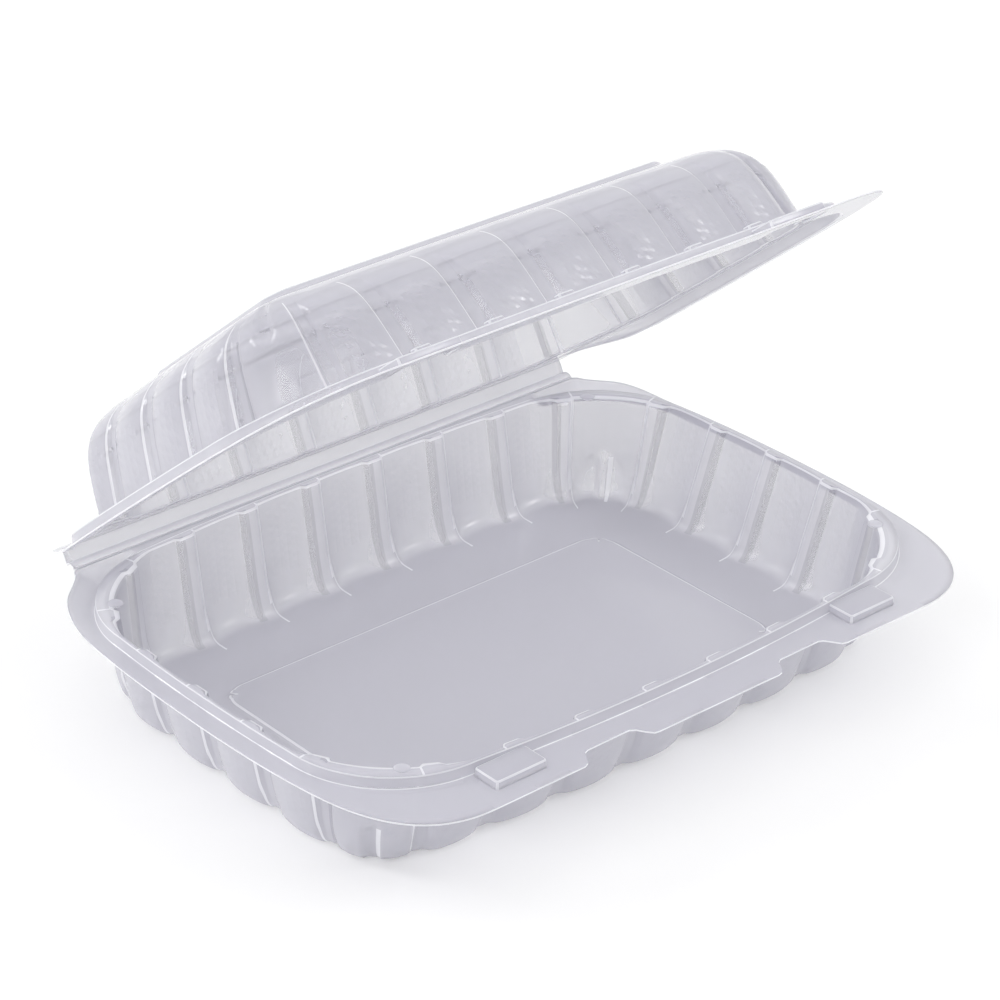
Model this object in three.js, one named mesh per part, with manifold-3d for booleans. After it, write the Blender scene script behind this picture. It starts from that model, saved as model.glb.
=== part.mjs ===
// Takeaway meal container of clear polypropylene: a ribbed tray and a ribbed domed lid,
// thermoformed in one sheet and joined by a strip hinge. The lid stands partly open.
// Millimetres, +Z up. X runs along the hinge and -Y points to the opening side.
// While it is built, y = 0 is the hinge crease and z = 0 is the top of the tray's flange.
// At the end the whole is moved so that the origin is the bottom centre of its box.
import * as THREE from 'three';
import { mergeVertices } from 'three/addons/utils/BufferGeometryUtils.js';
import Module from 'manifold-3d';

// Driving dimensions
const SHEET = 0.8; // thickness of the formed sheet
const FLANGE_FRONT = -180; // front edge of the flange
const CORE_HALF = 76.3; // compartment middle to the centres of its corner rounds, along X
const CORE_BACK = -44.8; // y of the rear corner centres
const CORE_FRONT = -126.2; // y of the front corner centres
const BOW_BACK = 2.9;
const BOW_FRONT = 3.8;
const BOW_SIDE = 1.2;

// Ribs pressed into the walls
const RIB_PITCH = 25;
const RIBS_LONG = 8; // on the front and on the back
const RIBS_SHORT = 5; // on each side
const RIB_STAGGER = 2; // the side ribs stand this far off centre, turned alike on both sides
const RIB_CREST = 2.2; // half width of a rib's flat crest
const RIB_FOOT = 3.9; // half width of a rib where it leaves the panel
const RIB_DEPTH = 1.6;
const PANEL_SWELL = 1.5; // how far a panel between two ribs swells outward
const PANEL_STEP = 9; // length of one facet along a panel

// Tray wall from the floor up. A stage has its reach, its height above the floor, the slope of
// the sheet in degrees, and its shares of rib, panel swell, bow and shift towards the hinge.
const TRAY_WALL = [
  { reach: 18.2, rise: 0, slope: 22, rib: 0, swell: 0.5, bow: 0.6, back: 2 },
  { reach: 23, rise: 1.9, slope: 40, rib: 0.6, swell: 0.9, bow: 0.7, back: 2.6 },
  { reach: 26.2, rise: 4.9, slope: 60, rib: 1, swell: 1, bow: 0.9, back: 2.6 },
  { reach: 28, rise: 8.6, slope: 90, rib: 1, swell: 1, bow: 1, back: 2.3 },
];

// Dome of the lid from the crown down. A stage has its reach, its drop below the crown, and
// as above, with the amount by which it cuts its corners.
const LID_WALL = [
  { reach: 6.6, drop: 1.2, slope: 20, rib: 0, swell: 0, bow: 0.6, cut: 0 },
  { reach: 15.4, drop: 3.4, slope: 27, rib: 0, swell: 0.3, bow: 0.8, cut: 1.6 },
  { reach: 21.9, drop: 7.2, slope: 45, rib: 0.4, swell: 0.7, bow: 0.9, cut: 2.7 },
  { reach: 25.5, drop: 12.2, slope: 66, rib: 1, swell: 1, bow: 1, cut: 3.3 },
  { reach: 28.3, drop: 19.6, slope: 83, rib: 1, swell: 1, bow: 1, cut: 3.9 },
];
const MOUTH_CUT = 4.5; // corner cut at the mouths of both halves

// Levels and reaches. A reach is measured outward from the corner centres.
const DECK = 3.7; // top of the tray's rim and of its rear deck
const FLOOR = -31.3;
const FLOOR_PANEL = -30.2; // the middle of the floor stands a little higher
const FLOOR_PANEL_REACH = 8.4;
const FLOOR_PANEL_INSET = 8;
const FLOOR_PANEL_STEP = 1.5; // width of the step round it
const MOUTH_REACH = 34.9; // edge of the compartment, at the level of the deck
const RIM_REACH = 36.4;
const RIM_FOOT_REACH = 37.3;
const DECK_HALF = 84; // half length of the rear deck
const DECK_FADE = 5;
const RIM_FADE = 20; // length over which the rim's foot climbs behind the compartment
const RAMP_START = -36; // y where the flange starts to climb to the hinge
const RAMP_END = -6;

// Lid, in its closed place
const NEST_GAP = 0.5; // between the lid and the tray where they lie on each other
const LID_MOUTH_REACH = 30.6;
const LID_RIM_REACH = 37.2;
const LID_RIM_FOOT_REACH = 38;
const LID_FADE_START = -30; // y where the foot of the lid's rim starts to climb at the corners
const LID_FADE_END = -8;
const LID_CROWN = 37;
const LID_TOP = 38.8; // the raised panel in the middle of the lid
const LID_TOP_REACH = 7.2;
const LID_TOP_STEP = 1.4;
const LID_TOP_INSET = 9;

// Catches on the front flange, and the finger notches in its edge
const CATCH_NEAR = 59.8;
const CATCH_FAR = 78;
const CATCH_FRONT = -173.6;
const CATCH_BACK = -160.5;
const CATCH_HEIGHT = 2.5;
const CATCH_CLEAR = 0.6; // room between a tray catch and the lid catch over it
const NOTCH_CENTRE = 37.7;
const NOTCH_MOUTH = 14; // half width at the edge
const NOTCH_FLOOR = 7.5; // half width at the deepest line
const NOTCH_DEPTH = 6;

// Hinge: the lid turns about an axis a little behind the crease, as the strip unfolds
const HINGE_HALF = 100; // half the length of the strip
const TRAY_REAR = -4.6; // y where the tray's rear deck meets the strip
const TRAY_REAR_BAND = 0.4; // the least width of deck behind the rim
const LID_REAR = -0.4;
const REAR_STEPS = 12; // points along a rear edge
const BEAD_TOP = -2.3; // y of the bead's top
const CREASE = -0.2; // y of the crease behind it
const LEAF_END = 1.9; // y where the leaf meets the lid
const AXIS_Y = 4.9;
const AXIS_Z = 2.4;
const OPEN_ANGLE = 39.1; // degrees, as it stands
const STRIP_GAP = 0.3;
const STRIP_SHEET = 0.48; // the strip is coined thinner than the sheet

const wasm = await Module();
wasm.setup();

const clear = (from, to, value) => THREE.MathUtils.smoothstep(value, from, to);

// Stations round the compartment, anticlockwise from the middle of the front.
// Each has a place on the core rectangle, an outward direction, and its share of rib, panel and bow.
const HALF_PI = Math.PI / 2;
const CORE_DEPTH_HALF = (CORE_BACK - CORE_FRONT) / 2;
const CENTRE_Y = (CORE_BACK + CORE_FRONT) / 2;
const QUARTER = MOUTH_REACH * HALF_PI;
const SIDES = [
  { half: CORE_HALF, normal: [0, -1], along: [1, 0], bow: BOW_FRONT, ribs: RIBS_LONG, shift: 0 },
  { half: CORE_DEPTH_HALF, normal: [1, 0], along: [0, 1], bow: BOW_SIDE, ribs: RIBS_SHORT, shift: -RIB_STAGGER },
  { half: CORE_HALF, normal: [0, 1], along: [-1, 0], bow: BOW_BACK, ribs: RIBS_LONG, shift: 0 },
  { half: CORE_DEPTH_HALF, normal: [-1, 0], along: [0, -1], bow: BOW_SIDE, ribs: RIBS_SHORT, shift: -RIB_STAGGER },
];

// The station at a distance s from the middle of a side, which may lie on the corner round past its end
function stationAt(side, s) {
  const past = Math.abs(s) - side.half;
  const turn = past > 0 ? (Math.sign(s) * past) / MOUTH_REACH : 0;
  const straight = THREE.MathUtils.clamp(s, -side.half, side.half);
  const [nx, ny] = side.normal;
  const [ax, ay] = side.along;
  return {
    core: [ax * straight + nx * coreAcross(side), ay * straight + ny * coreAcross(side)],
    out: [nx * Math.cos(turn) + ax * Math.sin(turn), ny * Math.cos(turn) + ay * Math.sin(turn)],
    bow: past > 0 ? 0 : side.bow * (1 - (s / side.half) ** 2),
    corner: (Math.cos(turn) + Math.abs(Math.sin(turn)) - 1) / (Math.SQRT2 - 1),
  };
}

function coreAcross(side) {
  return side.normal[0] === 0 ? CORE_DEPTH_HALF : CORE_HALF;
}

function makeStations() {
  const marks = [];
  let start = 0;
  for (const side of SIDES) {
    for (let i = 0; i < side.ribs; i++) {
      const centre = (i - (side.ribs - 1) / 2) * RIB_PITCH + side.shift;
      for (const [offset, rib] of [[-RIB_FOOT, 0], [-RIB_CREST, 1], [RIB_CREST, 1], [RIB_FOOT, 0]]) {
        marks.push({ at: start + centre + offset, rib });
      }
    }
    start += side.half + QUARTER + SIDES[(SIDES.indexOf(side) + 1) % SIDES.length].half;
  }
  const round = start;
  const stations = [];
  marks.forEach((mark, i) => {
    stations.push(stationOnRound(mark.at, mark.rib, 0));
    const next = marks[(i + 1) % marks.length];
    const gap = (next.at - mark.at + round) % round;
    if (mark.rib === 0 && next.rib === 0) {
      const steps = Math.max(2, Math.round(gap / PANEL_STEP));
      for (let k = 1; k < steps; k++) {
        const across = (2 * k) / steps - 1;
        stations.push(stationOnRound(mark.at + (gap * k) / steps, 0, 1 - across * across));
      }
    }
  });
  return stations;
}

// The station at a distance from the middle of the front, measured right round the mouth
function stationOnRound(distance, rib, panel) {
  let s = distance;
  let index = 0;
  for (;;) {
    const side = SIDES[index];
    const reachOfSide = side.half + QUARTER / 2;
    if (s <= reachOfSide) {
      return { ...stationAt(side, s), rib, panel };
    }
    const next = SIDES[(index + 1) % SIDES.length];
    s -= side.half + QUARTER + next.half;
    index = (index + 1) % SIDES.length;
  }
}

const STATIONS = makeStations();

// One closed row of points. A row may cut its corners, take the ribs, swell its panels,
// stand off towards the hinge and stop at a rear line.
function row(reach, z, { cut = 0, rib = 0, swell = 0, bow = 1, inset = 0, back = 0, rear = 0 } = {}) {
  const shrinkX = 1 - inset / CORE_HALF;
  const shrinkY = 1 - inset / CORE_DEPTH_HALF;
  return STATIONS.map((station) => {
    const relief = swell * PANEL_SWELL * station.panel - rib * RIB_DEPTH * station.rib;
    const out = reach + bow * station.bow + relief - cut * station.corner;
    const x = station.core[0] * shrinkX + station.out[0] * out;
    const across = CENTRE_Y + back + station.core[1] * shrinkY + station.out[1] * out;
    const y = Math.min(across, rear);
    return new THREE.Vector3(x, y, typeof z === 'function' ? z(x, y) : z);
  });
}

// Height of the foot of the rim. It rises to the deck behind the compartment.
function rimFoot(x, y) {
  const behind = clear(CORE_BACK, CORE_BACK + RIM_FADE, y);
  return DECK * behind * (1 - clear(DECK_HALF - DECK_FADE, DECK_HALF, Math.abs(x)));
}

// Height of the flange's edge. It climbs to the hinge.
function edgeRise(x, y) {
  return DECK * clear(RAMP_START, RAMP_END, y);
}

// Right-hand side of the flange seen from above: front corner, side, rear corner and waist
function flangeSide(rear, rearHalf) {
  const path = new THREE.Path();
  path.moveTo(84, FLANGE_FRONT);
  path.bezierCurveTo(103, FLANGE_FRONT, 112, -168, 116, -151);
  path.bezierCurveTo(119, -138, 120.4, -115, 120.4, -95);
  path.bezierCurveTo(120.4, -70, 119.6, -52, 118, -38);
  path.bezierCurveTo(116.8, -28, 114.8, -20.5, 110.4, -15.6);
  path.bezierCurveTo(107, -12.2, rearHalf, rear - 4, rearHalf, rear);
  return path.getPoints(7);
}

// One finger notch in the front edge
function notch(centre) {
  const path = new THREE.Path();
  const slope = NOTCH_MOUTH - NOTCH_FLOOR;
  path.moveTo(centre - NOTCH_MOUTH, FLANGE_FRONT);
  path.bezierCurveTo(centre - NOTCH_MOUTH + slope / 2, FLANGE_FRONT, centre - NOTCH_FLOOR - slope / 2,
    FLANGE_FRONT + NOTCH_DEPTH, centre - NOTCH_FLOOR, FLANGE_FRONT + NOTCH_DEPTH);
  path.lineTo(centre + NOTCH_FLOOR, FLANGE_FRONT + NOTCH_DEPTH);
  path.bezierCurveTo(centre + NOTCH_FLOOR + slope / 2, FLANGE_FRONT + NOTCH_DEPTH,
    centre + NOTCH_MOUTH - slope / 2, FLANGE_FRONT, centre + NOTCH_MOUTH, FLANGE_FRONT);
  return path.getPoints(5);
}

// Outline of a whole flange, anticlockwise from the left notch
function flangeOutline(rear, rearHalf, notched) {
  const right = flangeSide(rear, rearHalf);
  const left = right.map((p) => new THREE.Vector2(-p.x, p.y)).reverse();
  const front = notched ? [...notch(-NOTCH_CENTRE), ...notch(NOTCH_CENTRE)] : [];
  const back = [];
  for (let i = 1; i < REAR_STEPS; i++) {
    back.push(new THREE.Vector2(rearHalf * (1 - (2 * i) / REAR_STEPS), rear));
  }
  return [...front, ...right, ...back, ...left];
}

const lift = (outline, height) => outline.map((p) => new THREE.Vector3(p.x, p.y, height(p.x, p.y)));

// Closed shells are grown row by row. Two neighbouring rows may have different counts,
// so the strip between them steps on whichever row lags in its turn about the centre.
class Shell {
  constructor() {
    this.positions = [];
    this.indices = [];
  }

  addRow(points) {
    const first = this.positions.length / 3;
    for (const p of points) {
      this.positions.push(p.x, p.y, p.z);
    }
    return { first, points };
  }

  strip(inner, outer) {
    const angle = (p) => Math.atan2(p.y - CENTRE_Y, p.x);
    const turns = (points) => {
      const list = [angle(points[0])];
      for (let i = 1; i <= points.length; i++) {
        let step = angle(points[i % points.length]) - list[i - 1];
        step -= 2 * Math.PI * Math.round(step / (2 * Math.PI));
        list.push(list[i - 1] + step);
      }
      return list;
    };
    const a = turns(inner.points);
    const b = turns(outer.points);
    const base = a[0];
    let shift = 0;
    let nearest = Infinity;
    for (let j = 0; j < outer.points.length; j++) {
      let away = b[j] - base;
      away = Math.abs(away - 2 * Math.PI * Math.round(away / (2 * Math.PI)));
      if (away < nearest) {
        nearest = away;
        shift = j;
      }
    }
    const offset = 2 * Math.PI * Math.round((b[shift] - base) / (2 * Math.PI));
    const na = inner.points.length;
    const nb = outer.points.length;
    const innerAt = (i) => inner.first + (i % na);
    const outerAt = (j) => outer.first + ((j + shift) % nb);
    const outerTurn = (j) => {
      const k = j + shift;
      return b[k % nb] - offset + 2 * Math.PI * Math.floor(k / nb);
    };
    let i = 0;
    let j = 0;
    while (i < na || j < nb) {
      const stepInner = j >= nb || (i < na && a[i + 1] <= outerTurn(j + 1));
      if (stepInner) {
        this.indices.push(innerAt(i), outerAt(j), innerAt(i + 1));
        i++;
      } else {
        this.indices.push(innerAt(i), outerAt(j), outerAt(j + 1));
        j++;
      }
    }
  }

  // Rows of equal count, matched one to one
  ladder(inner, outer) {
    const count = inner.points.length;
    for (let i = 0; i < count; i++) {
      const next = (i + 1) % count;
      this.indices.push(inner.first + i, outer.first + i, outer.first + next);
      this.indices.push(inner.first + i, outer.first + next, inner.first + next);
    }
  }

  join(inner, outer) {
    if (inner.points.length === outer.points.length) {
      this.ladder(inner, outer);
    } else {
      this.strip(inner, outer);
    }
  }

  // A fan that closes a row at its centre
  close(ring, height, inward) {
    const centre = this.positions.length / 3;
    this.positions.push(0, CENTRE_Y, height);
    const count = ring.points.length;
    for (let i = 0; i < count; i++) {
      const a = ring.first + i;
      const b = ring.first + ((i + 1) % count);
      this.indices.push(...(inward ? [centre, a, b] : [centre, b, a]));
    }
  }

  geometry() {
    const geometry = new THREE.BufferGeometry();
    geometry.setAttribute('position', new THREE.Float32BufferAttribute(this.positions, 3));
    geometry.setIndex(this.indices);
    return mergeVertices(geometry, 1e-4);
  }
}

// A shell from its upper rows, centre outward, and its lower rows, centre outward
function shellOf(upper, upperCentre, lower, lowerCentre) {
  const shell = new Shell();
  const top = upper.map((points) => shell.addRow(points));
  const under = lower.map((points) => shell.addRow(points)).reverse();
  shell.close(top[0], upperCentre, true);
  const all = [...top, ...under];
  for (let i = 1; i < all.length; i++) {
    shell.join(all[i - 1], all[i]);
  }
  shell.close(all[all.length - 1], lowerCentre, false);
  return shell.geometry();
}

// manifold-3d only joins and cuts
function toSolid(geometry) {
  const plain = geometry.clone();
  plain.deleteAttribute('normal');
  plain.deleteAttribute('uv');
  const merged = mergeVertices(plain, 1e-4);
  const mesh = new wasm.Mesh({
    numProp: 3,
    vertProperties: new Float32Array(merged.attributes.position.array),
    triVerts: new Uint32Array(merged.index.array),
  });
  return new wasm.Manifold(mesh);
}

function fromSolid(solid) {
  const mesh = solid.getMesh();
  const geometry = new THREE.BufferGeometry();
  geometry.setAttribute('position', new THREE.BufferAttribute(new Float32Array(mesh.vertProperties), 3));
  geometry.setIndex(new THREE.BufferAttribute(new Uint32Array(mesh.triVerts), 1));
  return geometry;
}

function block(x0, x1, y0, y1, z0, z1) {
  const geometry = new THREE.BoxGeometry(x1 - x0, y1 - y0, z1 - z0);
  geometry.translate((x0 + x1) / 2, (y0 + y1) / 2, (z0 + z1) / 2);
  return toSolid(geometry);
}

// How far the sheet's other face lies outward and upward from a stage of a wall
const sheetAcross = (stage) => SHEET * Math.sin(THREE.MathUtils.degToRad(stage.slope));
const sheetUp = (stage) => SHEET * Math.cos(THREE.MathUtils.degToRad(stage.slope));

// Tray
function makeTray() {
  const edge = flangeOutline(TRAY_REAR, HINGE_HALF + 1, true);
  const below = (z) => (x, y) => z(x, y) - SHEET;
  const panel = { bow: 0, inset: FLOOR_PANEL_INSET };
  const mouth = { cut: MOUTH_CUT, rib: 1, swell: 0.2 };
  const behind = { rear: TRAY_REAR - TRAY_REAR_BAND };
  const underside = (stage) => row(
    stage.reach + sheetAcross(stage), FLOOR + stage.rise - sheetUp(stage), stage);
  const upper = [
    row(FLOOR_PANEL_REACH, FLOOR_PANEL, panel),
    row(FLOOR_PANEL_REACH + FLOOR_PANEL_STEP, FLOOR, panel),
    ...TRAY_WALL.map((stage) => row(stage.reach, FLOOR + stage.rise, stage)),
    row(MOUTH_REACH, DECK, mouth),
    row(RIM_REACH, DECK),
    row(RIM_FOOT_REACH, rimFoot, behind),
    lift(edge, edgeRise),
  ];
  const lower = [
    row(FLOOR_PANEL_REACH, FLOOR_PANEL - SHEET, panel),
    row(FLOOR_PANEL_REACH + FLOOR_PANEL_STEP, FLOOR - SHEET, panel),
    ...TRAY_WALL.map(underside),
    row(MOUTH_REACH + SHEET * 0.6, DECK - SHEET, mouth),
    row(RIM_REACH - SHEET * 0.6, DECK - SHEET),
    row(RIM_FOOT_REACH - SHEET, below(rimFoot), behind),
    lift(edge, below(edgeRise)),
  ];
  let solid = toSolid(shellOf(upper, FLOOR_PANEL, lower, FLOOR_PANEL - SHEET));
  for (const side of [-1, 1]) {
    const [left, right] = [side * CATCH_NEAR, side * CATCH_FAR].sort((a, b) => a - b);
    solid = solid.add(block(left, right, CATCH_FRONT, CATCH_BACK, -SHEET / 2, CATCH_HEIGHT));
  }
  return fromSolid(solid);
}

// Lid, in its closed place over the tray
function makeLid() {
  const edge = flangeOutline(LID_REAR, HINGE_HALF + 0.5, false);
  const bottom = (x, y) => NEST_GAP + edgeRise(x, y);
  const foot = (x, y) => NEST_GAP + DECK * clear(LID_FADE_START, LID_FADE_END, y);
  const above = (z) => (x, y) => z(x, y) + SHEET;
  const deck = DECK + NEST_GAP;
  const panel = { bow: 0, inset: LID_TOP_INSET };
  const mouth = { cut: MOUTH_CUT, rib: 1, swell: 0.4 };
  const underside = (stage) => row(
    stage.reach - sheetAcross(stage), LID_CROWN - stage.drop - sheetUp(stage), stage);
  const outside = [
    row(LID_TOP_REACH, LID_TOP, panel),
    row(LID_TOP_REACH + LID_TOP_STEP, LID_CROWN, panel),
    ...LID_WALL.map((stage) => row(stage.reach, LID_CROWN - stage.drop, stage)),
    row(LID_MOUTH_REACH + SHEET, deck + SHEET, mouth),
    row(LID_RIM_REACH + SHEET, deck + SHEET),
    row(LID_RIM_FOOT_REACH + SHEET, above(foot)),
    lift(edge, above(bottom)),
  ];
  const inside = [
    row(LID_TOP_REACH, LID_TOP - SHEET, panel),
    row(LID_TOP_REACH + LID_TOP_STEP - SHEET / 2, LID_CROWN - SHEET, panel),
    ...LID_WALL.map(underside),
    row(LID_MOUTH_REACH, deck, mouth),
    row(LID_RIM_REACH, deck),
    row(LID_RIM_FOOT_REACH, foot),
    lift(edge, bottom),
  ];
  let solid = toSolid(shellOf(outside, LID_TOP, inside, LID_TOP - SHEET));
  const rim = [row(LID_RIM_REACH, deck)];
  const rimBase = [row(LID_RIM_FOOT_REACH, NEST_GAP)];
  const room = toSolid(shellOf(rim, deck, rimBase, NEST_GAP));
  for (const side of [-1, 1]) {
    const [left, right] = [side * CATCH_NEAR, side * CATCH_FAR].sort((a, b) => a - b);
    const wall = CATCH_CLEAR + SHEET;
    const top = CATCH_HEIGHT + wall;
    const middle = NEST_GAP + SHEET / 2;
    const cover = block(left - wall, right + wall, CATCH_FRONT - wall, CATCH_BACK, middle, top);
    const hollow = block(left - CATCH_CLEAR, right + CATCH_CLEAR, CATCH_FRONT - CATCH_CLEAR, CATCH_BACK,
      -SHEET, top - SHEET);
    solid = solid.add(cover.subtract(room)).subtract(hollow);
  }
  return fromSolid(solid);
}

// Hinge strip: a half-round bead on the deck, then a leaf that reaches up to the open lid
function makeStrip() {
  const bead = new THREE.Path();
  bead.moveTo(TRAY_REAR + STRIP_GAP, DECK - 0.2);
  bead.quadraticCurveTo(BEAD_TOP, DECK + 0.6, CREASE, DECK - 0.1);
  bead.quadraticCurveTo(CREASE + 1, DECK + 0.3, LEAF_END, DECK + 2.3);
  const upper = bead.getPoints(4);
  const lower = upper.map((p) => new THREE.Vector2(p.x + STRIP_SHEET * 0.3, p.y - STRIP_SHEET)).reverse();
  const section = new THREE.Shape([...upper, ...lower]);
  const length = { depth: 2 * HINGE_HALF, bevelEnabled: false, steps: 1 };
  const geometry = new THREE.ExtrudeGeometry(section, length);
  geometry.applyMatrix4(new THREE.Matrix4().makeBasis(
    new THREE.Vector3(0, 1, 0), new THREE.Vector3(0, 0, 1), new THREE.Vector3(1, 0, 0)));
  geometry.translate(-HINGE_HALF, 0, 0);
  return geometry;
}

const film = () => new THREE.MeshStandardMaterial({
  color: 0xd4d4de, roughness: 0.25, metalness: 0, transparent: true, opacity: 0.45,
});

function piece(name, geometry) {
  const mesh = new THREE.Mesh(geometry, film());
  mesh.name = name;
  return mesh;
}

const body = new THREE.Group();
body.add(piece('tray', makeTray()));
body.add(piece('hinge_strip', makeStrip()));

const lid = piece('lid', makeLid());
lid.position.set(0, -AXIS_Y, -AXIS_Z);
const lidTurn = new THREE.Group();
lidTurn.position.set(0, AXIS_Y, AXIS_Z);
lidTurn.rotation.x = -THREE.MathUtils.degToRad(OPEN_ANGLE);
lidTurn.add(lid);
body.add(lidTurn);

// The origin is the bottom centre of the whole
const box = new THREE.Box3().setFromObject(body, true);
body.position.set(-(box.min.x + box.max.x) / 2, -(box.min.y + box.max.y) / 2, -box.min.z);
const container = new THREE.Group();
container.add(body);

export default container;
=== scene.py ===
import math
import bpy
import numpy as np
from mathutils import Matrix, Vector


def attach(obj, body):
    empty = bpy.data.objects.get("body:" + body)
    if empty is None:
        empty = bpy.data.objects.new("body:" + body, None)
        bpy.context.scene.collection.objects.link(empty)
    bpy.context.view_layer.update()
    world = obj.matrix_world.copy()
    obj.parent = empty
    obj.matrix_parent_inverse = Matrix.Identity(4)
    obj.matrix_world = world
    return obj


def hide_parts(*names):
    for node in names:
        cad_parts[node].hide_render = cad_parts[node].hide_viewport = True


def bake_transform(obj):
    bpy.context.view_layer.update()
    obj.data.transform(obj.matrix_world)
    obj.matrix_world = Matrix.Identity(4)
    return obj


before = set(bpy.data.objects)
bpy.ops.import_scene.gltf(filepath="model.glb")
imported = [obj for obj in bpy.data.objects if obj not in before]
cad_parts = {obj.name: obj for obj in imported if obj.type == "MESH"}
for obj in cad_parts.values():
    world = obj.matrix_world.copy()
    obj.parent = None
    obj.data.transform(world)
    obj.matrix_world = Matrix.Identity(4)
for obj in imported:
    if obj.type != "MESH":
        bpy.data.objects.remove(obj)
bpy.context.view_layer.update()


# Tray
# The lower half: one sheet of milky clear polypropylene, vacuum formed into a shallow
# rectangular dish with ribbed walls, a raised rim and a wide flange to lift it by.
# It is drawn in millimetres from the hinge crease, with z = 0 on top of the flange.
MM = 0.001
CREASE = Vector((0, 88.169, 32.1))  # the hinge crease in the frame of the part, on the flange's level
FILM = 0.5
CORE_X, CORE_Y, MIDDLE = 76.3, 40.7, -85.5  # half sizes and middle of the core that the walls go round
CORNER_RADIUS = 33.3  # of the line round the mouth that the ribs are spaced on
BOWS = (3.8, 1.2, 2.9, 1.2)  # how far the front, right, back and left walls bow out
PITCH = 25
LONG_RIBS, SHORT_RIBS = 8, 5
SIDE_SHIFT = -2  # the ribs of the short walls stand off the middle
RIB_DEPTH, PANEL_SWELL = 1.6, 1.5
CREST, FOOT = 2.3, 3.6  # half widths of a rib
RIB_SPREAD = 1.2  # how much wider its foot is at the floor
FILLET = 0.3  # half width of the small rounds along a rib
PANEL_STARTS = 1.1  # beyond the foot of a rib
PEBBLE = 1.5  # half the pitch of the pebbled grain
CORNER_STEP = 1.3
WIDEST_PANEL = PITCH + 4  # a panel wider than this turns a corner
DECK = 3.5
REAR_RISE = 3.7  # of the flange, where it runs up to the hinge
TRAY_REAR = -4.6
BAR_WIDTH, BAR_DEPTH, BAR_TOP, BAR_ROUND = 2.75, 2.2, -20.5, 2.7  # short bar low in each corner
POCKET_WIDTH, POCKET_DEPTH, POCKET_TOP, POCKET_ROUND = 10.5, 0.45, -27, 10  # faint arch round the bar


def film_material(name, tone, haze, edge_haze, roughness):
    """Undyed film: hazy rather than glass clear, denser edge on, with a soft gloss.

    Most of the light that it scatters goes on through it, so it casts less shadow than its haze.
    """
    mat = bpy.data.materials.new(name)
    mat.use_nodes = True
    nodes, links = mat.node_tree.nodes, mat.node_tree.links
    body = nodes["Principled BSDF"]
    body.inputs["Base Color"].default_value = tone
    body.inputs["Roughness"].default_value = roughness
    body.inputs["IOR"].default_value = 1.49
    facing = nodes.new("ShaderNodeLayerWeight")
    facing.inputs["Blend"].default_value = 0.5
    density = nodes.new("ShaderNodeMapRange")
    density.inputs["To Min"].default_value = haze
    density.inputs["To Max"].default_value = edge_haze
    links.new(facing.outputs["Facing"], density.inputs["Value"])
    ray = nodes.new("ShaderNodeLightPath")
    held_back = nodes.new("ShaderNodeMapRange")
    held_back.inputs["To Min"].default_value = 1
    held_back.inputs["To Max"].default_value = 0.38
    links.new(ray.outputs["Is Shadow Ray"], held_back.inputs["Value"])
    alpha = nodes.new("ShaderNodeMath")
    alpha.operation = "MULTIPLY"
    links.new(density.outputs["Result"], alpha.inputs[0])
    links.new(held_back.outputs["Result"], alpha.inputs[1])
    links.new(alpha.outputs[0], body.inputs["Alpha"])
    return mat


milky = film_material("milky_film", (0.565, 0.56, 0.615, 1), 0.34, 0.9, 0.1)
# Painted highlight: a pale copy of the film on the cut edges of the sheet
edge_highlight_film = film_material("edge_highlight_film", (0.9, 0.9, 0.94, 1), 0.7, 0.95, 0.3)
# Painted highlight: a pale copy of the film along folds, one side of each rib and the edges of the flutes
crease_highlight_film = film_material("crease_highlight_film", (0.86, 0.86, 0.9, 1), 0.45, 0.95, 0.15)
# Soft painted highlight: a slightly lighter copy of the film round the rim, on the small pressed pieces and
# the hinge bead
soft_highlight_film = film_material("soft_highlight_film", (0.62, 0.615, 0.67, 1), 0.32, 0.88, 0.16)
# Painted shade: a darker copy of the film on the other flank of the ribs
flank_shade_film = film_material("flank_shade_film", (0.43, 0.425, 0.475, 1), 0.4, 0.85, 0.08)
PLAIN, SOFT_HIGHLIGHT, PAINTED_HIGHLIGHT, PAINTED_SHADE = 0, 2, 4, 6  # places of the films in a piece, each with the painted highlight of its cut edge next


def smooth(a, b, x):
    """Rises softly from 0 at a to 1 at b."""
    t = np.clip((x - a) / (b - a), 0, 1)
    return t * t * (3 - 2 * t)


def rib_centres():
    """Places of the ribs, measured round the mouth from the middle of the front, and its girth."""
    places, start = [], 0.0
    quarter = CORNER_RADIUS * math.pi / 2
    long_wall = (CORE_X, CORE_Y, LONG_RIBS, 0)
    short_wall = (CORE_Y, CORE_X, SHORT_RIBS, SIDE_SHIFT)
    for half, other, count, shift in (long_wall, short_wall) * 2:
        places += [start + (i - (count - 1) / 2) * PITCH + shift for i in range(count)]
        start += half + quarter + other
    return np.array(places), start


RIBS, GIRTH = rib_centres()


def stations():
    """Places of the points round the mouth: dense on the flanks of the ribs, sparse on the panels."""
    marks = []
    half_rib = np.array([FOOT + PANEL_STARTS, FOOT + FILLET, FOOT, FOOT - FILLET,
                         CREST + FILLET, CREST, CREST - FILLET, 1])
    for i, rib in enumerate(RIBS):
        after = RIBS[(i + 1) % len(RIBS)] + (GIRTH if i == len(RIBS) - 1 else 0)
        marks += list(rib + np.concatenate([-half_rib, [0], half_rib[::-1]]))
        gap = after - rib - 2 * half_rib[0]
        count = round(gap / PEBBLE)
        if gap > PITCH:  # round a corner
            count = 2 * round(gap / CORNER_STEP)
        marks += list(rib + half_rib[0] + gap * np.arange(1, count) / count)
    return np.array(marks)


PLACES = stations()


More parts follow.
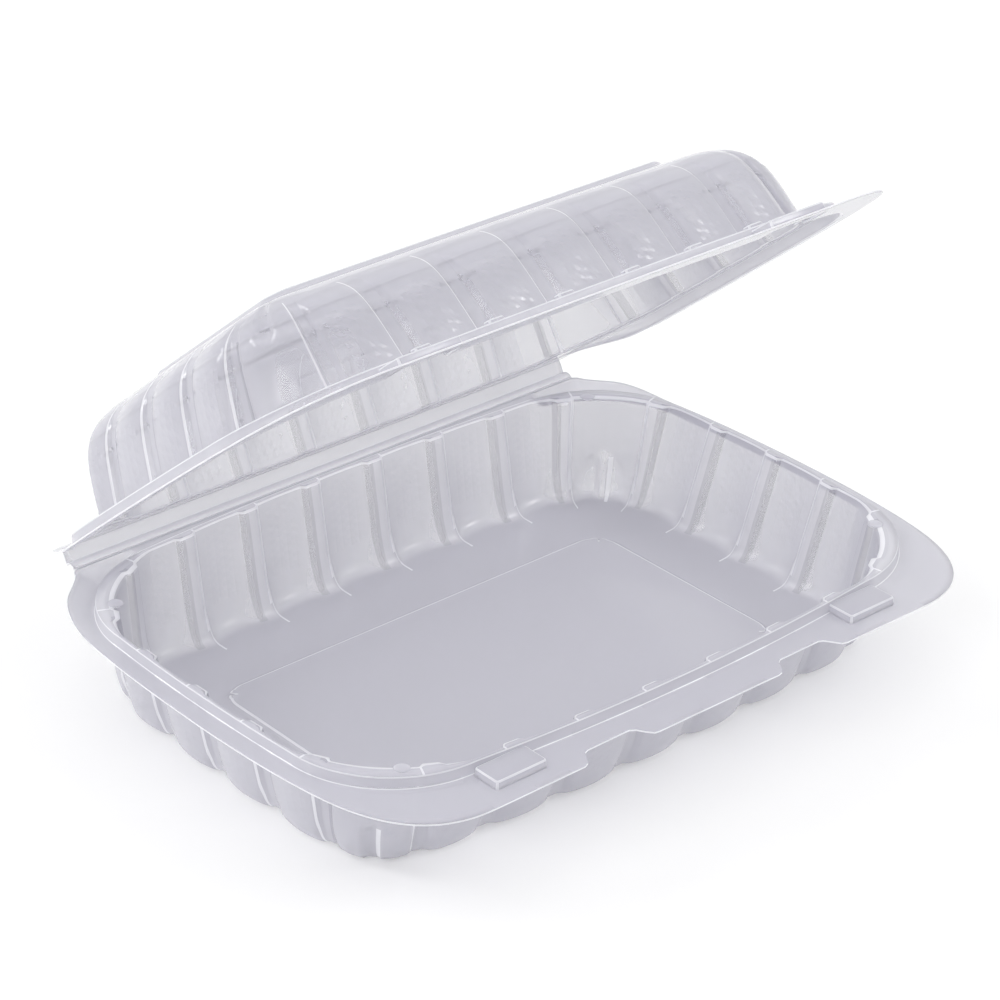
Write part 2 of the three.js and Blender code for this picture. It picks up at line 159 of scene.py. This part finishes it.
def round_the_mouth(places):
    """Core point, outward direction, bow and share of the corner at each place."""
    core, out, bow, corner = [], [], [], []
    quarter = CORNER_RADIUS * math.pi / 2
    sides = (((0, -1), (1, 0), CORE_X, CORE_Y), ((1, 0), (0, 1), CORE_Y, CORE_X),
             ((0, 1), (-1, 0), CORE_X, CORE_Y), ((-1, 0), (0, -1), CORE_Y, CORE_X))
    for v in places:
        k = 0
        while v > sides[k % 4][2] + quarter / 2:
            v -= sides[k % 4][2] + quarter + sides[(k + 1) % 4][2]
            k += 1
        normal, along, half, across = sides[k % 4]
        past = abs(v) - half
        turn = math.copysign(past, v) / CORNER_RADIUS if past > 0 else 0.0
        flat = max(-half, min(half, v))
        core.append((along[0] * flat + normal[0] * across, along[1] * flat + normal[1] * across))
        out.append((normal[0] * math.cos(turn) + along[0] * math.sin(turn),
                    normal[1] * math.cos(turn) + along[1] * math.sin(turn)))
        bow.append(0 if past > 0 else BOWS[k % 4] * (1 - (v / half) ** 2))
        corner.append((math.cos(turn) + abs(math.sin(turn)) - 1) / (math.sqrt(2) - 1))
    return [np.array(a) for a in (core, out, bow, corner)]


CORE, OUT, BOW, CORNER = round_the_mouth(PLACES)

# Where each place lies on its rib
from_ribs = (PLACES[:, None] - RIBS[None, :] + GIRTH / 2) % GIRTH - GIRTH / 2
TO_RIB = np.min(np.abs(from_ribs), axis=1)
side_of_rib = np.sign(from_ribs[np.arange(len(PLACES)), np.argmin(np.abs(from_ribs), axis=1)])
HIGHLIT_SIDE = side_of_rib * np.where(np.abs(OUT[:, 0] - 1) < 0.3, 1, -1) > 0  # the side of each rib that gets a painted highlight

# Where each place lies on the panel between two ribs
posts = np.sort(np.append(RIBS, [RIBS[-1] - GIRTH, RIBS[0] + GIRTH]))
panel_of = np.clip(np.searchsorted(posts, PLACES) - 1, 0, len(posts) - 2)
SPAN = posts[panel_of + 1] - posts[panel_of]
ACROSS = (PLACES - posts[panel_of]) / SPAN * 2 - 1
PANEL = 1 - np.clip(np.abs(ACROSS) * SPAN / (SPAN - 2 * FOOT), 0, 1) ** 2
GRAINED = (np.abs(ACROSS) * SPAN < SPAN - 2 * FOOT - 3) * (SPAN < WIDEST_PANEL)
IN_CORNER = 1.0 * (SPAN > WIDEST_PANEL) * (CORNER > 0)
FROM_MID_CORNER = ACROSS * SPAN / 2

# One side of each rib gets a painted highlight: over its whole flank at the back and the right,
# along its foot at the front and the left. The other flank gets painted shade, but not at the front.
back_right = OUT.sum(axis=1) > 0
HIGHLIT_FOOT = HIGHLIT_SIDE * (np.abs(TO_RIB - FOOT) < FILLET + 0.05)
whole_flank = HIGHLIT_SIDE * (TO_RIB > CREST - 0.05) * (TO_RIB < FOOT + FILLET + 0.05)
HIGHLIT_FLANK = np.where(back_right, whole_flank, HIGHLIT_FOOT)
SHADED_FLANK = ~HIGHLIT_SIDE * (back_right | (OUT[:, 0] < -0.75)) * (TO_RIB > 0.9) * (TO_RIB < FOOT + 0.05)

SHARES = ("cut", "rib", "swell", "bow", "inset", "back")


def stretch(rows, end):
    """Adds rows along a straight stretch of a section, about a pebble apart."""
    start = rows[-1]
    count = max(1, round(np.linalg.norm((end - start)[:2]) / PEBBLE))
    rows += [start + (end - start) * k / count for k in range(1, count + 1)]


def profile(knots, steps=4):
    """Rows along a section with rounded knots, each (reach, z, rounding, shares).

    The shares say how far a row is cut at the corners, ribbed, swollen between the ribs and
    bowed, and how many millimetres it is drawn in to the middle and set back to the hinge.
    """
    full = []
    for reach, z, rounding, shares in knots:
        values = [shares.get(share, 1.0 if share == "bow" else 0.0) for share in SHARES]
        full.append((np.array([reach, z] + values), rounding))
    rows = [full[0][0]]
    for (a, _), (b, rounding), (c, _) in zip(full, full[1:], full[2:]):
        before, after = np.linalg.norm((b - a)[:2]), np.linalg.norm((c - b)[:2])
        p = b + (a - b) * min(rounding / max(before, 1e-6), 0.5)
        q = b + (c - b) * min(rounding / max(after, 1e-6), 0.5)
        stretch(rows, p)
        count = steps if np.linalg.norm((q - p)[:2]) < 6 else 2 * steps
        for k in range(1, count + 1):
            t = k / count
            rows.append((1 - t) ** 2 * p + 2 * t * (1 - t) * b + t * t * q)
    stretch(rows, full[-1][0])
    return [dict(zip(("reach", "z") + SHARES, row)) for row in rows]


def plain_row(reach, z):
    """A row that is bowed like the walls, with no ribs."""
    row = dict.fromkeys(SHARES, 0)
    row.update(reach=reach, z=z, bow=1)
    return row


def ring(row, height=None, flute=None):
    """One closed row of points of a ribbed wall."""
    spread = RIB_SPREAD * float(smooth(-20, -30, row["z"]))
    rib = np.clip((FOOT + spread - TO_RIB) / (FOOT + spread - CREST), 0, 1)
    rib = np.where(np.abs(TO_RIB - FOOT) < 0.1, 0.08 + 0.3 * spread, rib)  # rounds off the foot
    rib = np.where(np.abs(TO_RIB - CREST) < 0.1, 0.92, rib)  # and the crest
    out = row["reach"] + row["bow"] * BOW - row["cut"] * CORNER
    out = out - row["rib"] * RIB_DEPTH * rib + row["swell"] * PANEL_SWELL * PANEL
    if flute is not None:
        out = out + flute(row["z"])
    x = CORE[:, 0] * (1 - row["inset"] / CORE_X) + OUT[:, 0] * out
    y = MIDDLE + row["back"] + CORE[:, 1] * (1 - row["inset"] / CORE_Y) + OUT[:, 1] * out
    z = np.full(len(PLACES), row["z"]) if height is None else height(x, y) + row["z"]
    return np.stack([x, y, z], axis=1)


def round_end(past, rounding):
    """Share of its full width that a flute keeps this far past the start of its round end."""
    return math.sqrt(max(0.0, 1 - (max(0.0, past) / rounding) ** 2))


def tray_flute(z):
    """Faint arched pocket low in each corner, with one short upright bar in its middle."""
    arch = POCKET_WIDTH * round_end(z - POCKET_TOP, POCKET_ROUND)
    pocket = 1 - smooth(arch - 3, arch + 0.4, np.abs(FROM_MID_CORNER)) if arch > 1 else 0 * PLACES
    narrowed = round_end(z - BAR_TOP, BAR_ROUND)
    width = max(BAR_WIDTH * narrowed, 0.01)
    bar = np.clip(1 - (FROM_MID_CORNER / width) ** 2, 0, 1) ** 0.4 * min(1.0, 1.4 * narrowed)
    above_floor = smooth(-31.9, -30.5, z)
    return IN_CORNER * above_floor * (POCKET_DEPTH * pocket - BAR_DEPTH * bar)


def bar_highlight_edge(z):
    """The edge of each corner's bar that gets a painted highlight."""
    from_edge = np.abs(FROM_MID_CORNER * np.sign(OUT[:, 1]) + 2.3)
    return IN_CORNER * (from_edge < 1.1) * (z < -18.7)


def rim_foot_rise(x, y):
    """The foot of the rim climbs the rear flange, but not at its ends."""
    return REAR_RISE * smooth(-44.8, -24.8, y) * smooth(84, 79, np.abs(x))


def edge_rise(x, y):
    return REAR_RISE * smooth(-36, -6, y)


def cubic(p0, p1, p2, p3, count):
    """Points of a curve with these four control points, less its end."""
    t = np.linspace(0, 1, count, endpoint=False)[:, None]
    p0, p1, p2, p3 = (np.array(p, float) for p in (p0, p1, p2, p3))
    return (1 - t) ** 3 * p0 + 3 * t * (1 - t) ** 2 * p1 + 3 * t * t * (1 - t) * p2 + t ** 3 * p3


def outline(rear, half, notched):
    """Edge of the flange seen from above, anticlockwise from the left end of the front."""
    front = -179.95
    right = [cubic((84, front), (103, front), (112, -168), (116, -151), 24),
             cubic((116, -151), (119, -138), (120.4, -115), (120.4, -95), 16),
             cubic((120.4, -95), (120.4, -70), (119.6, -52), (118, -38), 16),
             cubic((118, -38), (116.8, -28), (114.8, -20.5), (110.4, -15.6), 18),
             cubic((110.4, -15.6), (107, -12.2), (half, rear - 4), (half, rear), 18),
             np.array([[half, rear]])]
    right = np.concatenate(right)
    left = right[::-1] * np.array([-1, 1])
    notches = []
    if notched:
        mouth, floor, deep, ease = 14, 7.5, 6, 3.3  # half widths, depth and rounding of a finger notch
        for centre in (-37.7, 37.7):
            notches.append(cubic((centre - mouth, front), (centre - mouth + ease, front),
                                 (centre - floor - ease, front + deep), (centre - floor, front + deep), 12))
            notches.append(cubic((centre + floor, front + deep), (centre + floor + ease, front + deep),
                                 (centre + mouth - ease, front), (centre + mouth, front), 12))
    return np.concatenate(notches + [right, left])


def reach_edge(points, edge):
    """Where each point, going outward, meets the flange's edge."""
    along = np.roll(edge, -1, axis=0) - edge
    found = []
    for p, d in zip(points[:, :2], OUT):
        cross = d[0] * along[:, 1] - d[1] * along[:, 0]
        cross = np.where(np.abs(cross) < 1e-9, 1e-9, cross)
        w = edge - p
        t = (w[:, 0] * along[:, 1] - w[:, 1] * along[:, 0]) / cross
        u = (w[:, 0] * d[1] - w[:, 1] * d[0]) / cross
        meets = (u >= -1e-6) & (u <= 1 + 1e-6) & (t > 0)
        found.append(p + d * np.min(t[meets]))
    return np.array(found)


DOWN_THE_RIM = (0.07, 0.35, 0.7, 0.92)  # shares of the way from the deck's edge to the rim's foot


def rim_and_flange(shoulder, foot, ledge, edge, rise, rows):
    """Rings down the outside of the rim to its foot, and out over the flange to its edge."""
    made = [shoulder + (foot - shoulder) * t for t in DOWN_THE_RIM]
    start = foot + np.column_stack([OUT * ledge, np.zeros(len(PLACES))])
    made.append(start)
    end = reach_edge(start, edge)
    end = np.column_stack([end, rise(end[:, 0], end[:, 1])])
    for k in range(1, rows + 1):
        t = k / rows
        made.append(start * (1 - t) + end * t)
    return made


def pebbled(rings, low, high, depth):
    """Presses the staggered grain into the panels between two heights."""
    column = np.arange(len(PLACES))
    done = []
    for r, ring_points in enumerate(rings):
        z = ring_points[:, 2]
        peak = (column % 2 == 0) * ((r + column // 2) % 2 == 0)
        share = GRAINED * (z > low) * (z < high) * peak * depth
        done.append(ring_points + np.column_stack([OUT * share[:, None], 0 * share]))
    return done


def film_piece(name, points, faces, kinds, flat=()):
    """A sheet of film of even thickness, with a painted highlight on its cut edge. The faces named flat
    stay facets.
    """
    mesh = bpy.data.meshes.new(name)
    mesh.from_pydata(((points + np.array(CREASE)) * MM).tolist(), [], faces)
    mesh.shade_smooth()
    for face in flat:
        mesh.polygons[face].use_smooth = False
    for film in (milky, soft_highlight_film, crease_highlight_film, flank_shade_film):
        mesh.materials.append(film)
        mesh.materials.append(edge_highlight_film)
    mesh.polygons.foreach_set("material_index", kinds)
    piece = bpy.data.objects.new(name, mesh)
    bpy.context.scene.collection.objects.link(piece)
    thickness = piece.modifiers.new("film", "SOLIDIFY")
    thickness.thickness = FILM * MM
    thickness.offset = 0
    thickness.material_offset_rim = 1
    return piece


def bent(rows, bends):
    """Which strips between rows lie on the bends of the section, each (reach, z, half width)."""
    strips = []
    for a, b in zip(rows, rows[1:]):
        reach, z = (a["reach"] + b["reach"]) / 2, (a["z"] + b["z"]) / 2
        strips.append(any(math.hypot(reach - bend[0], z - bend[1]) < bend[2] for bend in bends))
    return strips


def sheet(name, rings, rows, bends, flute_highlight, grain, move=None, cut_out=None):
    """Skins the rings from the middle outward into one film.

    It gets a painted highlight where it is folded: on the bends of the section, at the top and the foot
    of the rim, along one side of each rib and on the flute edges; painted shade on a rib's other flank.
    """
    count = len(PLACES)
    points = np.concatenate(rings)
    left_out = cut_out(points) if cut_out else np.zeros(len(points), bool)
    faces = [list(range(count))]
    kinds = [PLAIN]
    flat = []
    on_bends = bent(rows, bends) + [False] * len(rings)
    rim_starts, rim_ends = len(rows) - 2, len(rows) + len(DOWN_THE_RIM)
    for r in range(len(rings) - 1):
        a, b = r * count, (r + 1) * count
        ribbed = rows[r]["rib"] if r < len(rows) - 1 else 0
        highlit_rib = HIGHLIT_FLANK if ribbed > 0.9 else HIGHLIT_FOOT
        highlit_flute = flute_highlight(rings[r][0, 2]) if ribbed > 0.4 else 0 * PLACES
        # Round the rim the film is painted a little lighter, a soft painted highlight
        base = SOFT_HIGHLIGHT if rim_starts <= r < rim_ends else PLAIN
        on_highlit_fold = on_bends[r] or r in (rim_starts + 1, rim_ends - 1)
        grained = all(grain[0] < rings[k][0, 2] < grain[1] for k in (r, r + 1))
        for i in range(count):
            j = (i + 1) % count
            if left_out[[a + i, b + i, b + j, a + j]].all():
                continue
            kind = base
            # Painted highlight on the folds, along one side of each rib and on the edges of the flutes
            if on_highlit_fold:
                kind = PAINTED_HIGHLIGHT
            # the other flank of a rib gets painted shade
            elif ribbed > 0.6 and SHADED_FLANK[i] and SHADED_FLANK[j]:
                kind = PAINTED_SHADE
            if ribbed > 0.1 and ((highlit_rib[i] and highlit_rib[j]) or (highlit_flute[i] and highlit_flute[j])):
                kind = PAINTED_HIGHLIGHT
            kinds.append(kind)
            if grained and GRAINED[i] and GRAINED[j]:
                flat.append(len(faces))
            faces.append([a + i, b + i, b + j, a + j])
    if move is not None:
        points = move(points)
    return film_piece(name, points, faces, kinds, flat)


tray_knots = [
    (7, -30.7, 0, {"inset": 8, "bow": 0}),
    (8.4, -30.7, 0.8, {"inset": 8, "bow": 0}),
    (9.9, -31.83, 0.8, {"inset": 8, "bow": 0}),
    (17.6, -31.83, 2, {"swell": 0.4, "bow": 0.6, "back": 2}),
    (25.9, -31.83, 8.4, {"rib": 0.9, "swell": 1, "bow": 0.8, "back": 2.7}),
    (28.6, -22.7, 3, {"rib": 1, "swell": 1, "back": 2.3}),
    (35.1, DECK, 0.7, {"cut": 4.5, "rib": 1, "swell": 0.2}),
    (36.2, DECK, 0.5, {}),
]
tray_rows = profile(tray_knots)
tray_bends = [(8.4, -30.7, 0.5), (35.1, DECK, 0.28)]
TRAY_GRAIN = (-23, 1.5)
tray_rings = pebbled([ring(row, flute=tray_flute) for row in tray_rows], *TRAY_GRAIN, 0.07)
tray_foot = ring(plain_row(36.6, -FILM / 2), height=rim_foot_rise)
tray_rings += rim_and_flange(tray_rings[-1], tray_foot, 0.3, outline(TRAY_REAR, 101, True),
                             lambda x, y: edge_rise(x, y) - FILM / 2, rows=7)
tray = sheet("tray_sheet", tray_rings, tray_rows, tray_bends, bar_highlight_edge, TRAY_GRAIN)
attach(tray, "tray")
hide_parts("tray")


# Lid
# The upper half, formed in the same sheet as the tray: a ribbed dome with a raised flat
# top, a rim that nests over the tray's rim, and a flange of the same outline.
# It is drawn in its closed place and then turned open about the hinge.
AXIS = Vector((0, 4.9, 2.4))
OPEN = math.radians(39.1)
LID_DECK = 4.6
LID_FLANGE = 0.9
FLUTE_WIDTH, FLUTE_DEPTH, FLUTE_END, FLUTE_ROUND = 4.4, 1.9, 27.5, 4.2  # high in each corner
CATCH_X = 68.9  # from the middle to each catch


def opened(points):
    """Turns points from the closed place of the lid to its open one."""
    y, z = points[:, 1] - AXIS.y, points[:, 2] - AXIS.z
    c, s = math.cos(OPEN), math.sin(OPEN)
    return np.column_stack([points[:, 0], y * c + z * s + AXIS.y, -y * s + z * c + AXIS.z])


def lid_flute(z):
    """Wide flute with a round lower end, high in each corner of the dome."""
    narrowed = round_end(FLUTE_END - z, FLUTE_ROUND)
    width = max(FLUTE_WIDTH * narrowed, 0.01)
    flute = np.clip(1 - (FROM_MID_CORNER / width) ** 2, 0, 1) ** 0.5 * narrowed
    return -IN_CORNER * (FLUTE_DEPTH * smooth(37, 34.5, z)) * flute


def flute_highlight_edges(z):
    """Both edges of each flute get a painted highlight."""
    return IN_CORNER * (np.abs(np.abs(FROM_MID_CORNER) - 4.1) < 0.7) * (z > 24.5) * (z < 35)


def under_covers(points):
    """The flange is open below the catch covers."""
    x, y, z = points.T
    return (np.abs(np.abs(x) - CATCH_X) < 10.6) & (y > -174.7) & (y < -162) & (z < 3.4)


lid_knots = [
    (5.8, 38.5, 0, {"inset": 9, "bow": 0}),
    (7.2, 38.5, 0.9, {"inset": 9, "bow": 0}),
    (8.8, 36.7, 0.9, {"inset": 9, "bow": 0}),
    (7, 35.4, 9, {"bow": 0.6}),
    (15.3, 33.3, 9, {"bow": 0.8, "cut": 1.6, "swell": 0.3}),
    (21.7, 29.4, 9, {"bow": 0.9, "cut": 2.7, "swell": 0.7, "rib": 0.5}),
    (25.1, 24.5, 9, {"cut": 3.3, "swell": 1, "rib": 1}),
    (27.7, 17.3, 9, {"cut": 3.9, "swell": 1, "rib": 1}),
    (31, LID_DECK, 0.8, {"cut": 4.5, "rib": 1, "swell": 0.4}),
    (37.6, LID_DECK, 0.6, {}),
]
lid_rows = profile(lid_knots, steps=3)
lid_bends = [(7.2, 38.5, 0.4), (31, LID_DECK, 0.35)]
LID_GRAIN = (6.5, 25)
lid_rings = pebbled([ring(row, flute=lid_flute) for row in lid_rows], *LID_GRAIN, 0.1)
lid_foot = ring(plain_row(38.4, LID_FLANGE), height=lambda x, y: REAR_RISE * smooth(-30, -8, y))
lid_rings += rim_and_flange(lid_rings[-1], lid_foot, 0.5, outline(-0.4, 100.5, False),
                            lambda x, y: edge_rise(x, y) + LID_FLANGE, rows=13)
lid = sheet("lid_sheet", lid_rings, lid_rows, lid_bends, flute_highlight_edges, LID_GRAIN, opened, under_covers)
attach(lid, "lid")
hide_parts("lid")


# Rim lugs
# Small oblong blocks pressed up from the lid's front rim, one over each of its six middle
# ribs. They are part of the lid's film, and keep two stacked lids from sticking together.
LUG_LINE = -160.7  # the front rim at its ends, from where it bows out


def box_film(centre, half_x, half_y, base, top, backless=False, corner=0.8, edge=0.25, steps=5):
    """Hollow block of film, open below, with a painted highlight on its tight corners and upper edges, and
    a soft painted highlight on the rest of its walls.
    """
    walls = [(-0.25, base), (-0.1, (base + top) / 2)]
    for a in np.linspace(0, math.pi / 2, 4):
        walls.append((edge * (1 - math.cos(a)), top - edge + edge * math.sin(a)))
    rings = []
    for inset, z in walls:
        ring_points = []
        for k, (sx, sy) in enumerate(((1, -1), (1, 1), (-1, 1), (-1, -1))):
            for a in np.linspace(0, math.pi / 2, steps):
                turn = a + (k - 1) * math.pi / 2
                r = corner - inset
                ring_points.append((centre[0] + sx * (half_x - corner) + r * math.cos(turn),
                                    centre[1] + sy * (half_y - corner) + r * math.sin(turn), z))
        rings.append(np.array(ring_points))
    count = len(rings[0])
    faces, kinds = [], []
    for r in range(len(rings) - 1):
        for i in range(count):
            j = (i + 1) % count
            if backless and min(rings[r][i][1], rings[r][j][1]) > centre[1] + half_y - 0.4:
                continue
            faces.append([r * count + i, r * count + j, (r + 1) * count + j, (r + 1) * count + i])
            kinds.append(PAINTED_HIGHLIGHT if r > 1 or i % steps in (1, 2) else SOFT_HIGHLIGHT)
    faces.append([(len(rings) - 1) * count + i for i in range(count)])
    return np.concatenate(rings), faces, kinds + [PLAIN]


def joined(parts):
    """Several sets of points, faces and kinds of film as one."""
    points, faces, kinds = [], [], []
    first = 0
    for part_points, part_faces, part_kinds in parts:
        points.append(part_points)
        faces += [[v + first for v in face] for face in part_faces]
        kinds += part_kinds
        first += len(part_points)
    return np.concatenate(points), faces, kinds


lug_places = [(x, LUG_LINE - BOWS[0] * (1 - (x / CORE_X) ** 2)) for x in (np.arange(6) - 2.5) * PITCH]
lugs, lug_faces, lug_kinds = joined([
    box_film(spot, 2.6, 1.5, LID_DECK, LID_DECK + 1.2) for spot in lug_places])
rim_lugs = film_piece("lid_lugs", opened(lugs), lug_faces, lug_kinds)
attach(rim_lugs, "lid")


# Catches
# Hollow blocks pressed up from both front flanges, in the same film. Those of the lid are
# wider and deeper, so that they snap over those of the tray when the container is shut.
tray_catches = film_piece("tray_catches", *joined([
    box_film((x, -168.5), 8.9, 4.7, 0.0, 2.3) for x in (-CATCH_X, CATCH_X)]))
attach(tray_catches, "tray")
covers, cover_faces, cover_kinds = joined([
    box_film((x, -169.6), 10.7, 5.2, 1.1, 3.6, backless=True) for x in (-CATCH_X, CATCH_X)])
lid_catches = film_piece("lid_catches", opened(covers), cover_faces, cover_kinds)
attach(lid_catches, "lid")


# Stacking buttons
# Four small domes of the same film, pressed up in the corners of the tray's deck and turned
# alike about its middle. Stacked trays stand on them, and so come apart easily.
BUTTON_SIDES, BUTTON_ROWS = 20, 5


def dome(centre, radius, base, height):
    """Low round dome, open below."""
    around = np.linspace(0, 2 * math.pi, BUTTON_SIDES, endpoint=False)
    rings = []
    for a in np.linspace(0, math.pi / 2, BUTTON_ROWS + 1)[:-1]:
        rings.append(np.column_stack([centre[0] + radius * math.cos(a) * np.cos(around),
                                      centre[1] + radius * math.cos(a) * np.sin(around),
                                      np.full(BUTTON_SIDES, base + height * math.sin(a))]))
    faces = []
    for r in range(BUTTON_ROWS - 1):
        low, high = r * BUTTON_SIDES, (r + 1) * BUTTON_SIDES
        for i in range(BUTTON_SIDES):
            j = (i + 1) % BUTTON_SIDES
            faces.append([low + i, low + j, high + j, high + i])
    faces.append([(BUTTON_ROWS - 1) * BUTTON_SIDES + i for i in range(BUTTON_SIDES)])
    # The dome is painted a little lighter all over, a soft painted highlight
    return np.concatenate(rings), faces, [SOFT_HIGHLIGHT] * len(faces)


buttons = film_piece("tray_buttons", *joined([
    dome(spot, 2.3, DECK, 0.5) for spot in ((94.4, -18.5), (104.3, -140), (-102.5, -29), (-94.4, -152.5))]))
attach(buttons, "tray")


# Strip hinge
# The living hinge between the halves: the same film pressed into a half-round bead along
# the tray's rear deck, a sharp crease, and a leaf that rises to the lid's rear edge.
STRIP_HALF, STRIP_STEPS = 100, 80


def strip_section():
    """Points (y, z) across the hinge, from the tray's deck to the lid's rear edge."""
    rear = opened(np.array([[0, -0.4, LID_DECK]]))[0]
    bead = [(TRAY_REAR, DECK), (-4.3, 3.45), (-4.0, 3.2), (-3.7, 3.25)]
    bead += [(-2.1 + 1.7 * math.cos(a), 3.3 + 0.95 * math.sin(a)) for a in np.linspace(math.pi, 0.12, 9)]
    leaf = [(-0.25, 3.5), (0.0, 3.75), (0.35, 4.3)]
    for t in (0.25, 0.5, 0.75, 1.0):
        y = 0.35 + (rear[1] - 0.35) * t
        z = 4.3 + (rear[2] - 4.3) * t + 0.35 * math.sin(math.pi * t)
        leaf.append((y, z))
    return bead + leaf


section = strip_section()
strip_xs = np.linspace(-STRIP_HALF, STRIP_HALF, STRIP_STEPS + 1)
strip_points = np.array([(x, y, z) for y, z in section for x in strip_xs])
strip_faces = []
for r in range(len(section) - 1):
    for i in range(STRIP_STEPS):
        a = r * len(strip_xs) + i
        strip_faces.append([a, a + 1, a + 1 + len(strip_xs), a + len(strip_xs)])
# The bead is painted a little lighter all over, a soft painted highlight
strip = film_piece("hinge_bead", strip_points, strip_faces, [SOFT_HIGHLIGHT] * len(strip_faces))
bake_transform(strip)
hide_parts("hinge_strip")


# Floor
# A flat, matt, pale studio table that the container stands on.
floor_mesh = bpy.data.meshes.new("floor")
floor_mesh.from_pydata([(-3, -3, 0), (3, -3, 0), (3, 3, 0), (-3, 3, 0)], [], [(0, 1, 2, 3)])
floor = bpy.data.objects.new("floor", floor_mesh)
bpy.context.scene.collection.objects.link(floor)
floor_mat = bpy.data.materials.new("pale_floor")
floor_mat.use_nodes = True
floor_body = floor_mat.node_tree.nodes["Principled BSDF"]
floor_body.inputs["Base Color"].default_value = (0.93, 0.93, 0.93, 1)
floor_body.inputs["Roughness"].default_value = 0.9
floor.data.materials.append(floor_mat)


# Light
# A pale studio all round, with one weak softbox overhead and three bright ones at the sides
# that give the film its long soft glints.
def studio(base, boxes):
    """A room that glows evenly, with softboxes, each (direction, half angle, glow)."""
    world = bpy.data.worlds.new("studio")
    world.use_nodes = True
    nodes, links = world.node_tree.nodes, world.node_tree.links
    towards = nodes.new("ShaderNodeTexCoord").outputs["Generated"]
    total = None
    for direction, half, glow in boxes:
        dot = nodes.new("ShaderNodeVectorMath")
        dot.operation = "DOT_PRODUCT"
        dot.inputs[1].default_value = Vector(direction).normalized()
        links.new(towards, dot.inputs[0])
        dark = base if total is None else 0  # the first box carries the glow of the room as well
        patch = nodes.new("ShaderNodeMapRange")
        patch.interpolation_type = "SMOOTHSTEP"
        patch.inputs["From Min"].default_value = math.cos(math.radians(half * 1.3))
        patch.inputs["From Max"].default_value = math.cos(math.radians(half * 0.8))
        patch.inputs["To Min"].default_value = dark
        patch.inputs["To Max"].default_value = glow + dark
        links.new(dot.outputs["Value"], patch.inputs["Value"])
        if total is None:
            total = patch.outputs["Result"]
        else:
            add = nodes.new("ShaderNodeMath")
            add.operation = "ADD"
            links.new(total, add.inputs[0])
            links.new(patch.outputs["Result"], add.inputs[1])
            total = add.outputs[0]
    links.new(total, nodes["Background"].inputs["Strength"])
    nodes["Background"].inputs["Color"].default_value = (1, 1, 1, 1)
    return world


overhead = ((0.1, 0.3, 1), 20, 0.4)
at_left = ((-0.9, -0.25, 0.5), 14, 3)
front_right = ((0.575, -0.48, 0.66), 8, 9)
back_left = ((-0.48, 0.66, 0.575), 8, 10)
bpy.context.scene.world = studio(0.8, [overhead, at_left, front_right, back_left])
bpy.context.scene.view_settings.view_transform = "Standard"


# Camera
# It stands at the front left, a little above, with a long lens, as in the photograph. Its place
# was fitted in units of which 27 make a rib pitch, and measured from the hinge crease.
UNIT = PITCH / 27
AIM = Vector((32.77, -52.68, 0))
DISTANCE = 1191.6
yaw, pitch, roll = math.radians(-40.934), math.radians(28.621), 0.007
camera_data = bpy.data.cameras.new("camera")
camera_data.lens = 126.62
camera_data.sensor_width = 36
camera_data.clip_end = 20
camera = bpy.data.objects.new("camera", camera_data)
bpy.context.scene.collection.objects.link(camera)
back = Vector((math.sin(yaw) * math.cos(pitch), -math.cos(yaw) * math.cos(pitch), math.sin(pitch)))
level = Vector((math.cos(yaw), math.sin(yaw), 0))
upright = back.cross(level)
right = level * math.cos(roll) + upright * math.sin(roll)
up = upright * math.cos(roll) - level * math.sin(roll)
spot = (AIM + back * DISTANCE) * UNIT + CREASE
camera.matrix_world = Matrix.Translation(spot * MM) @ Matrix((right, up, back)).transposed().to_4x4()
bpy.context.scene.camera = camera

bpy.context.view_layer.update()
